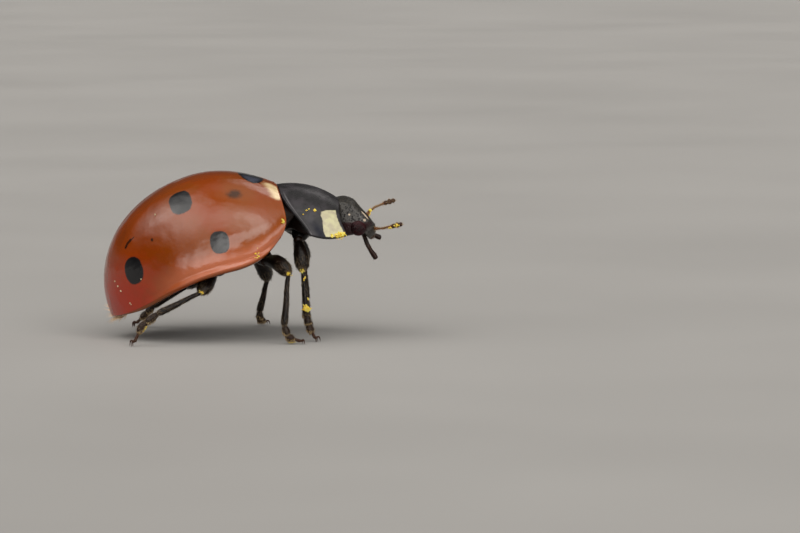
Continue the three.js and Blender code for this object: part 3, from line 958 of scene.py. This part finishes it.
def ball(centre, size, rows, columns, squareness=1.0):
    """A stretched sphere about the head's y axis, pressed towards a box."""
    u = np.linspace(0, math.pi, rows)[:, None]
    v = np.linspace(0, 2 * math.pi, columns, endpoint=False)
    sphere = stacked(np.sin(u) * np.cos(v), np.cos(u), np.sin(u) * np.sin(v))
    return np.sign(sphere) * np.abs(sphere) ** squareness * size + centre


def head_capsule():
    points = ball((0, 0, 0), HEAD["size"], 120, 160, HEAD["squareness"])
    x, y, z = points[..., 0].copy(), points[..., 1].copy(), points[..., 2].copy()
    upper, side = smooth(z, 0.0, 0.2), np.abs(y)
    # The crown is cut back behind, and the head narrows in front.
    points[..., 0] = x + 0.055 * smooth(x, -0.3, -0.65) * upper
    points[..., 1] = y * (1 - 0.14 * smooth(x, 0.1, 0.62))
    # Above, the crown swells a little, hollows and ridges run beside the eyes, and a ridge borders the
    # lip. Below, the head hangs lower behind and rises towards the mouth.
    crown = 0.02 * bell(x, -0.36, 0.12)
    hollow = -0.03 * bell(side, 0.46, 0.06) * bell(x, 0.1, 0.3)
    brow = 0.022 * bell(side, 0.58, 0.04) * bell(x, 0.1, 0.22)
    ridge = 0.02 * bell(x, 0.5, 0.05)
    below = 0.22 * smooth(x, 0.15, 0.5) - 0.17 * smooth(x, 0.4, 0.08)
    points[..., 2] = z + (crown + hollow + brow + ridge) * upper
    points[..., 2] += below * smooth(-z, 0.0, 0.3)
    surface = Surface(carried(FACE, points), closed=True)
    # The pale marks, with the painted highlight streaks on the brows.
    pale = np.minimum.reduce([np.linalg.norm((points - centre) / half_sizes, axis=-1)
                              for centre, half_sizes in pale_marks_and_highlights()])
    # Below the eye's upper edge, back from the mouth, the sides are as dark and red as the eye.
    cheek = smooth(surface.points[..., 2], 3.13, 3.06) * smooth(side, 0.45, 0.6) * smooth(x, 0.45, 0.3)
    # Above the cheek, the sides get painted light, weaker towards the back under the pronotum.
    flank = smooth(side, 0.72, 0.85) * (1 - cheek) * lerp(0.2, 1, smooth(x, -0.45, 0.12))
    fields = {"pale": pale.ravel(), "cheek": cheek.ravel(), "flank": flank.ravel()}
    add_piece("head_capsule", *body_of(surface), head_finish(), "head", ["head"], fields)
    return surface


def pale_marks_and_highlights():
    """A speck on the right, and on each side a pale spot by the eye and a painted highlight streak on the
    brow.
    """
    yield (-0.24, -0.86, -0.03), (0.028, 0.05, 0.028)
    for sign in (-1, 1):
        yield (0.15, sign * 0.8, 0.17), (0.045, 0.06, 0.04)
        # The streak on the brow is a painted highlight on the edge above the eye.
        yield (0.08, sign * 0.72, 0.28), (0.16, 0.05, 0.035)


def head_finish():
    """Greenish black and closely pitted, with small pale marks beside each eye. Painted in: light on the
    sides and brows, shade in the pits.
    """
    f = Finish("head_capsule", IOR=1.5, Specular_IOR_Level=0.32)
    cloud = f.noise(6, 4)
    # Painted light makes the sides lighter grey.
    base = f.mix(f.field("flank"), rgb(24, 23, 21), rgb(54, 52, 52))
    colour = f.mix(f.step(cloud, 0.3, 0.7), rgb(7, 7, 6), base)
    pits = f.cells(17)
    # Lighter between the pits and darker in them: painted shade in the pits.
    raised = f.mix(f.field("flank"), rgb(44, 41, 36), rgb(76, 74, 72))
    colour = f.mix(f.step(pits, 0.3, 0.55), colour, raised)
    colour = f.mix(f.field("cheek"), colour, f.mix(cloud, rgb(12, 2, 3), rgb(44, 8, 12)))
    # Pale spots and speck, and the painted highlight streak on each brow.
    pale = f.zone("pale", f.wobble(14, 0.5, 2), 1.1, 0.85)
    colour = f.mix(pale, colour, rgb(176, 160, 140))
    normal = f.bump(f.step(pits, 0.0, 0.4), 0.018, f.bump(cloud, 0.04))
    return f.finish(colour, f.vary(9, 0.32, 0.46), normal)


HEAD_SURFACE = head_capsule()
for side_name, side in SIDES.items():
    place = np.array(EYE["at"]) * (1, side, 1)
    eye = Surface(carried(FACE, ball(place, EYE["size"], 50, 70)), closed=True)
    add_piece(f"compound_eye_{side_name}", *body_of(eye), EYE_DARK, "eye", [f"eye_{side_name}"])


def mouthparts():
    parts, tints = [], []

    def add(tint, path, half_width, half_depth, **options):
        """Adds a limb given in the head's frame, broad from side to side."""
        surface = limb(carried(FACE, path), half_width, half_depth, (0, 1, 0), **options)
        parts.append(body_of(surface))
        tints.append(np.full(len(parts[-1][0]), tint))
        return surface

    lip = add(0.25, ((0.54, 0, 0.17), (0.66, 0, 0.14), (0.76, 0, 0.04)),
              ((0, 0.34), (0.6, 0.33), (1, 0.27)), ((0, 0.05), (1, 0.045)), sides=40, blunt=8)
    for sign in (-1, 1):
        jaw = ((0.46, sign * 0.34, 0.05), (0.6, sign * 0.33, 0.04), (0.68, sign * 0.22, 0.02),
               (0.7, sign * 0.06, 0.0))
        add(0.3, jaw, ((0, 0.1), (0.6, 0.08), (1, 0.02)), ((0, 0.1), (0.6, 0.07), (1, 0.02)))
        lobe = ((0.36, sign * 0.24, -0.05), (0.49, sign * 0.22, -0.05), (0.58, sign * 0.14, -0.04))
        add(0.15, lobe, ((0, 0.09), (0.7, 0.07), (1, 0.03)), ((0, 0.07), (0.7, 0.05), (1, 0.02)))
        labial = ((0.44, sign * 0.1, -0.08), (0.52, sign * 0.13, -0.1), (0.59, sign * 0.14, -0.08))
        round_size = ((0, 0.035), (0.5, 0.04), (1, 0.025))
        add(0.2, labial, round_size, round_size)
    chin = ((0.22, 0, -0.17), (0.36, 0, -0.13), (0.5, 0, -0.08))
    add(0.1, chin, ((0, 0.2), (0.6, 0.17), (1, 0.1)), ((0, 0.06), (1, 0.04)))
    points, faces = joined(parts)
    add_piece("mouth_parts", points, faces, MOUTH_BROWN, "mouthparts", ["mouthparts"],
              {"tint": np.concatenate(tints)})
    return lip


LIP = mouthparts()


def antenna(name):
    """Eleven segments: a stout first, a short second, a slender stem and a club of three."""
    path = ANTENNAE[name]
    ends = (0, 0.17, 0.27, 0.38, 0.45, 0.52, 0.585, 0.65, 0.71, 0.81, 0.91, 1.0)
    widths = (0.055, 0.043, 0.028, 0.026, 0.025, 0.026, 0.028, 0.034, 0.056, 0.068, 0.054)
    club_start = 8
    stem, club, surfaces = [], [], []
    for k, width in enumerate(widths):
        at = np.linspace(ends[k] - 0.012, ends[k + 1] + 0.006, 5)
        in_club = k >= club_start
        flare, flatness = (1.12, 0.72) if in_club else (1.0, 1.0)
        sizes = ((0, width * 0.72), (0.6, width * flare), (1, width * 0.85))
        flat = tuple((t, w * flatness) for t, w in sizes)
        segment = limb(along_path(path, at), sizes, flat, (0.2, 0.3, 1), rings=14, sides=14, blunt=7)
        surfaces.append(segment)
        (club if in_club else stem).append(body_of(segment))
    for label, part, node, tint in (("stem", stem, f"antenna_{name}", 0.85),
                                    ("club", club, f"antenna_club_{name}", 0.15)):
        points, faces = joined(part)
        add_piece(f"antenna_{label}_{name}", points, faces, MOUTH_BROWN, "feeler", [node],
                  {"tint": np.full(len(points), tint)})
    add_hair(f"antenna_hair_{name}", hair_on_each(surfaces, 26, 0.07, 0.003), GOLD_HAIR, "feeler")
    return surfaces


def palp(name):
    """A maxillary palp, which ends in an axe-shaped segment."""
    path = PALPS[name]
    ends = (0, 0.14, 0.36, 0.54, 1.0)
    sizes = (((0, 0.052), (1, 0.054)), ((0, 0.054), (0.7, 0.06), (1, 0.058)),
             ((0, 0.055), (0.7, 0.06), (1, 0.058)),
             ((0, 0.056), (0.3, 0.062), (0.75, 0.07), (1, 0.066)))
    surfaces = []
    for k, size in enumerate(sizes):
        at = np.linspace(ends[k] - 0.03, ends[k + 1] + 0.02, 5)
        flare = 0.9 if k == len(sizes) - 1 else 0.0
        depth = tuple((t, w * (1.0 + flare * t)) for t, w in size)
        surfaces.append(limb(along_path(path, at), size, depth, (1, 0.1, 0.3), rings=18, blunt=14))
    points, faces = joined([body_of(s) for s in surfaces])
    add_piece(f"maxillary_palp_{name}", points, faces, MOUTH_BROWN, "mouthparts", [f"palp_{name}"],
              {"tint": np.zeros(len(points))})
    add_hair(f"palp_hair_{name}", hair_on_each(surfaces, 30, 0.05, 0.003), GREY_HAIR, "mouthparts")


FEELERS = {name: antenna(name) for name in SIDES}
for side_name in SIDES:
    palp(side_name)
add_hair("head_hair",
         [hair_on(LIP, 90, 0.09, 0.0035, lean=1.0, lift=0.25, span=(0.75, 0.97), band=(0, 0.4)),
          hair_on(HEAD_SURFACE, 160, 0.05, 0.003, span=(0.3, 0.7), around=(0.0, 0.35), band=(0.5, 1))],
         GREY_HAIR, "head")


# --- legs --------------

THIGH = {"front": (0.2, 0.2), "middle": (0.18, 0.21), "hind": (0.19, 0.22)}  # greatest half sizes
CLAW_REACH = 0.13  # length of a claw
PAD_HAIRS = 220  # places for hairs on each foot pad, of which those on its underside are taken


def leg(name):
    socket, hip, knee, ankle, heel, toe = (np.array(p, float) for p in LEGS[name])
    pair = name.split("_")[0]
    plane = unit(np.cross(knee - hip, ankle - knee))
    surfaces = {}

    def add(label, surface, tint, replaces=()):
        """Adds a part of the leg. tint gives its tint from the share of its length."""
        points, faces = body_of(surface)
        share = np.linspace(0, 1, len(surface.points))[:, None]
        tints = np.broadcast_to(tint(share), surface.points.shape[:2]).ravel()
        add_piece(f"{label}_{name}", points, faces, LEG_BLACK, "leg", replaces, {"tint": tints})
        surfaces[label] = surface

    hip_path = (socket, lerp(socket, hip, 0.6), lerp(hip, knee, 0.04))
    hip_width, hip_depth = ((0, 0.2), (0.5, 0.24), (1, 0.15)), ((0, 0.2), (0.5, 0.22), (1, 0.14))
    add("hip", limb(hip_path, hip_width, hip_depth, plane), lambda t: 0.0, [f"coxa_{name}"])
    ring_path = [lerp(hip, knee, t) for t in (-0.04, 0.06, 0.16)]
    ring_width, ring_depth = ((0, 0.1), (0.5, 0.135), (1, 0.09)), ((0, 0.1), (0.5, 0.13), (1, 0.09))
    add("trochanter", limb(ring_path, ring_width, ring_depth, plane), lambda t: 0.12)
    bow = np.array((0, 0, 0.12 if pair == "middle" else 0.03))
    thigh_path = (lerp(hip, knee, 0.05), lerp(hip, knee, 0.5) + bow, lerp(hip, knee, 1.03))
    sizes = [((0, 0.5 * full), (0.55, full), (0.85, 0.88 * full), (1, 0.6 * full))
             for full in THIGH[pair]]
    add("thigh", limb(thigh_path, *sizes, plane, rings=44, sides=26, blunt=9),
        lambda t: 0.25 * smooth(t, 0.86, 1.0), [f"femur_{name}"])
    outward = unit(np.cross(plane, ankle - knee))
    shin_path = (lerp(knee, ankle, -0.02), lerp(knee, ankle, 0.15) + outward * 0.03,
                 lerp(knee, ankle, 0.6), lerp(knee, ankle, 1.02))
    shin_width = ((0, 0.055), (0.15, 0.058), (0.7, 0.082), (1, 0.1))
    shin_depth = ((0, 0.055), (0.15, 0.062), (0.7, 0.092), (1, 0.11))
    add("shin", limb(shin_path, shin_width, shin_depth, plane, rings=44, sides=20, blunt=12),
        lambda t: 0.2 * smooth(t, 0.1, 0.0) + 0.1 * smooth(t, 0.8, 1.0), [f"tibia_{name}"])

    foot = (ankle, lerp(ankle, heel, 0.55), heel, lerp(heel, toe, 0.55), toe)
    upward = np.array((0, 0, 1.0))
    side = unit(np.cross(toe - ankle, upward))

    def foot_part(start, end, steps, half_width, half_depth):
        at = np.linspace(start, end, steps)
        return limb(along_path(foot, at), half_width, half_depth, side, blunt=8)

    first = foot_part(0.0, 0.4, 5, ((0, 0.06), (0.6, 0.1), (1, 0.11)), ((0, 0.07), (0.6, 0.1), (1, 0.08)))
    second = foot_part(0.32, 0.74, 5, ((0, 0.06), (0.7, 0.12), (1, 0.11)),
                       ((0, 0.06), (0.6, 0.1), (1, 0.07)))
    last = foot_part(0.62, 1.0, 6, ((0, 0.034), (0.7, 0.04), (1, 0.05)),
                     ((0, 0.034), (0.7, 0.042), (1, 0.052)))
    parts = [body_of(s) for s in (first, second, last)]
    points, faces = joined(parts)
    tint = np.concatenate([np.full(len(p[0]), t) for p, t in zip(parts, (0.1, 0.2, 0.55))])
    add_piece(f"foot_{name}", points, faces, LEG_BLACK, "leg", [f"tarsus_{name}"], {"tint": tint})

    reach = unit((toe - heel) * (1, 1, 0)) * CLAW_REACH
    claws = []
    for sign in (-1, 1):
        base = toe + side * sign * 0.025
        tip = base + reach * 0.8 + side * sign * 0.09
        tip[2] = 0.008
        crest = base + reach * 0.55 + side * sign * 0.05 + upward * 0.035
        claw_path = (base - reach * 0.1, base + reach * 0.15 + upward * 0.02, crest, tip)
        claws.append(limb(claw_path, ((0, 0.024), (0.5, 0.018), (1, 0.004)),
                          ((0, 0.026), (0.5, 0.02), (1, 0.004)), side, rings=16, sides=10, blunt=20))
        tooth_tip = base + reach * 0.42 + side * sign * 0.03
        tooth_tip[2] = 0.012
        tooth_path = (base + reach * 0.1, base + reach * 0.3 + side * sign * 0.02, tooth_tip)
        tooth = ((0, 0.018), (1, 0.004))
        claws.append(limb(tooth_path, tooth, tooth, side, rings=10, sides=8, blunt=20))
    points, faces = joined([body_of(claw) for claw in claws])
    add_piece(f"claws_{name}", points, faces, LEG_BLACK, "leg", (), {"tint": np.full(len(points), 0.6)})

    lying = {"lean": 1.0, "lift": 0.4}
    hair = [
        hair_on(surfaces["hip"], 60, 0.08, 0.0035, band=(0, 0.15)),
        hair_on(surfaces["thigh"], 160, 0.07, 0.0028, band=(0.17, 0.3)),
        hair_on(surfaces["thigh"], 260, 0.1, 0.0036, span=(0.55, 0.95), band=(0.3, 0.4), **lying),
        hair_on(surfaces["shin"], 100, 0.05, 0.0028, span=(0.02, 0.35), band=(0.42, 0.5), **lying),
        hair_on(surfaces["shin"], 240, 0.08, 0.0028, span=(0.35, 0.98), band=(0.5, 0.7), **lying),
        hair_on(first, 90, 0.08, 0.0035, band=(0.72, 0.8)),
        hair_on(second, 90, 0.08, 0.0035, band=(0.82, 0.9)),
        hair_on(last, 30, 0.06, 0.003, band=(0.92, 1)),
    ]
    add_hair(f"leg_hair_{name}", hair, GREY_HAIR, "leg")
    soles = []
    for k, pad in enumerate((first, second)):
        u, v = RANDOM.uniform(0.35, 0.95, PAD_HAIRS), RANDOM.uniform(0, 1, PAD_HAIRS)
        points, normals, along = pad.read(u, v)
        under = normals @ -upward > 0.1
        points, normals, along = points[under], normals[under], along[under]
        room = np.maximum(points[:, 2] - FLOOR_GAP, 0.01)
        lengths = np.minimum(RANDOM.uniform(0.04, 0.075, len(points)), room)
        patches = RANDOM.uniform(0.02, 0.95, (len(points), 2)) * (0.45, 1) + (0.5 * k, 0)
        directions = unit(-upward + along * 0.3 + normals * 0.3)
        soles.append(hairs(points, directions, along * 0.1, lengths, 0.0035, patches))
    add_hair(f"foot_pads_{name}", soles, GOLD_HAIR, "leg")
    surfaces["foot"] = second
    return surfaces


LEG_SURFACES = {name: leg(name) for name in LEGS}


# --- pollen ------------

GRAIN = 0.017  # radius in mm
# Loose specks of dust on the right wing case: share of the length and degrees over the top
SPECKS = ((0.92, 142), (0.916, 150), (0.912, 157), (0.797, 162), (0.889, 174), (0.611, 126))


def wing_place(share, degrees):
    """The u and v of a place on the right wing case's grid."""
    row = 1 - (1 - share) ** (1 / ROW_POWER)
    return row, 1 - ((180 - degrees) / 90) ** (1 / COLUMN_POWER)


# Surfaces with their clumps: u, v, spread in mm, number of grains
DUST = [(WING_SURFACES["right"], [(*wing_place(*speck), 0.02, 2) for speck in SPECKS])]
POLLEN_CLUMPS = (
    (PRONOTUM_SURFACE, ((0.88, 0.004, 0.07, 130), (0.95, 0.004, 0.05, 50), (0.76, 0.003, 0.06, 50),
                        (0.64, 0.004, 0.05, 18), (0.48, 0.165, 0.035, 16), (0.36, 0.17, 0.02, 3),
                        (0.25, 0.155, 0.1, 4))),
    (WING_SURFACES["right"], ((0.01, 0.76, 0.07, 16), (0.11, 0.955, 0.1, 14))),
    (FEELERS["right"][9], ((0.5, 0.3, 0.06, 18),)),
    (FEELERS["right"][7], ((0.5, 0.5, 0.05, 12),)),
    (FEELERS["left"][1], ((0.6, 0.2, 0.06, 20),)),
    (FEELERS["left"][0], ((0.8, 0.5, 0.05, 14),)),
    (LEG_SURFACES["front_right"]["thigh"], ((0.97, 0.5, 0.07, 40),)),
    (LEG_SURFACES["front_right"]["shin"], ((0.74, 0.25, 0.085, 130), (0.6, 0.1, 0.05, 12),
                                           (0.3, 0.2, 0.05, 8))),
    (LEG_SURFACES["middle_right"]["shin"], ((0.1, 0.3, 0.06, 20),)),
    (LEG_SURFACES["middle_right"]["thigh"], ((0.93, 0.6, 0.05, 12),)),
    (LEG_SURFACES["middle_right"]["foot"], ((0.7, 0.3, 0.07, 22),)),
    (LEG_SURFACES["hind_right"]["thigh"], ((0.97, 0.4, 0.06, 22),)),
    (LEG_SURFACES["hind_right"]["foot"], ((0.5, 0.3, 0.06, 12),)),
)


def scatter(name, clumped, material):
    """Rounded grains, heaped at each clump's place."""
    ball_mesh = bmesh.new()
    bmesh.ops.create_icosphere(ball_mesh, subdivisions=2, radius=1)
    shape = np.array([v.co[:] for v in ball_mesh.verts])
    pattern = [[v.index for v in face.verts] for face in ball_mesh.faces]
    ball_mesh.free()
    parts = []
    clumps = [(surface, *clump) for surface, theirs in clumped for clump in theirs]
    for surface, u, v, spread, count in clumps:
        centre, normal, along = surface.read(np.array(u), np.array(v))
        aside = np.cross(normal, along)
        for _ in range(count):
            a, b = RANDOM.normal(0, spread * 0.5, 2)
            heap = max(0.0, spread - math.hypot(a, b)) * min(count / 40, 1) * RANDOM.uniform(0, 1)
            size = GRAIN * RANDOM.uniform(0.65, 1.25, 3)
            place = centre + along * a + aside * b + normal * (heap + GRAIN * 0.4)
            place[2] = max(place[2], size[2] + FLOOR_GAP)
            parts.append((shape * size + place, pattern))
    points, faces = joined(parts)
    add_piece(name, points, faces, material, weld=False)


scatter("dust_specks", DUST, CREAM)
scatter("pollen_grains", POLLEN_CLUMPS, POLLEN)


# --- stage -------------

def stage():
    mesh = bpy.data.meshes.new("floor")
    reach = 1.5  # in metres
    corners = [(-reach, -reach, 0), (reach, -reach, 0), (reach, reach, 0), (-reach, reach, 0)]
    mesh.from_pydata(corners, [], [(0, 1, 2, 3)])
    mesh.materials.append(floor_finish())
    floor = bpy.data.objects.new("floor", mesh)
    bpy.context.scene.collection.objects.link(floor)


# Soft oval windows of light. Their middle is an azimuth, from the beetle's right towards its head, and
# an elevation. These, the half sizes and the tilt are in degrees.
Window = namedtuple("Window", "azimuth elevation half_width half_height tilt softness strength")
SKY_LIGHTS = (
    Window(-92, 60, 42, 24, 0, 0.9, 2.5),
    Window(10, 60, 60, 20, 0, 0.9, 2.7),
    Window(150, 42, 14, 7, 0, 0.8, 1.6),
    Window(-45, 36, 30, 14, -20, 0.9, 1.7),
    Window(-105, 46, 14, 8, 0, 0.9, 1.6),
    Window(135, 68, 50, 16, 0, 0.9, 0.6),
)
# A bright band that rises from the floor before the middle legs to the sky over the head
BAND = (
    Window(-16, 3.5, 26, 7, -5, 0.6, 3.6),
    Window(14, 24.5, 34, 8, 18, 0.55, 4.2),
    Window(40, 46, 12, 18, 20, 0.9, 2.4),
)
# Light low from the right front, and a faint glow along the horizon on the far side
LOW_LIGHTS = (
    Window(52, 3, 38, 10, 10, 0.6, 3.0),
    Window(180, 0, 125, 9, 0, 0.5, 0.2),
)
WINDOWS = SKY_LIGHTS + BAND + LOW_LIGHTS
SKY = 0.04  # strength of the light from everywhere else


def window_light(f, azimuth, elevation, window):
    """The light of one window in the direction of azimuth and elevation."""
    cosine, sine = math.cos(math.radians(window.tilt)), math.sin(math.radians(window.tilt))
    wrapped = {0: f.math("SUBTRACT", azimuth, window.azimuth), 1: 180.0, 2: -180.0}
    a, b = f.node("Math", wrapped, operation="WRAP"), f.math("SUBTRACT", elevation, window.elevation)
    along = f.add(f.times(a, cosine), f.times(b, sine))
    up = f.math("SUBTRACT", f.times(b, cosine), f.times(a, sine))
    x, y = f.math("DIVIDE", along, window.half_width), f.math("DIVIDE", up, window.half_height)
    reach = f.math("SQRT", f.add(f.times(x, x), f.times(y, y)))
    return f.step(reach, 1 + window.softness, 1 - window.softness, 0.0, window.strength)


def light():
    world = bpy.data.worlds.new("studio")
    bpy.context.scene.world = world
    world.use_nodes = True
    f = Nodes(world.node_tree)
    split = f.tree.nodes.new("ShaderNodeSeparateXYZ")
    f.feed(split.inputs[0], f.node("TexCoord", {}, "Generated"))
    turned = f.math("ARCTAN2", split.outputs[0], f.times(split.outputs[1], -1.0))
    azimuth = f.math("DEGREES", turned)
    elevation = f.math("DEGREES", f.math("ARCSINE", split.outputs[2]))
    total = SKY
    for window in WINDOWS:
        total = f.add(total, window_light(f, azimuth, elevation, window))
    background = f.tree.nodes["Background"]
    background.inputs["Color"].default_value = rgb(255, 252, 248)
    f.feed(background.inputs["Strength"], total)


def camera():
    azimuth, elevation = CAMERA_AZIMUTH, CAMERA_ELEVATION
    right = Vector((math.cos(azimuth), math.sin(azimuth), 0))
    back = Vector((math.sin(azimuth) * math.cos(elevation), -math.cos(azimuth) * math.cos(elevation),
                   math.sin(elevation)))
    up = back.cross(right)
    column, row = STANCE_ORIGIN_PIXEL
    target = right * (FRAME_WIDTH / 2 - column) / PIXELS_PER_MM
    target += up * (row - FRAME_HEIGHT / 2) / PIXELS_PER_MM
    target = (target + Vector(SHIFT)) * MM
    data = bpy.data.cameras.new("camera")
    data.sensor_width = SENSOR_WIDTH
    data.lens = SENSOR_WIDTH * PIXELS_PER_MM * CAMERA_DISTANCE / FRAME_WIDTH
    data.clip_start, data.clip_end = 0.005, 10
    made = bpy.data.objects.new("camera", data)
    stand = Matrix.Translation(target + back * CAMERA_DISTANCE * MM)
    made.matrix_world = stand @ back.to_track_quat("Z", "Y").to_matrix().to_4x4()
    bpy.context.scene.collection.objects.link(made)
    bpy.context.scene.camera = made


stage()
light()
camera()
bpy.context.scene.view_settings.view_transform = "Standard"
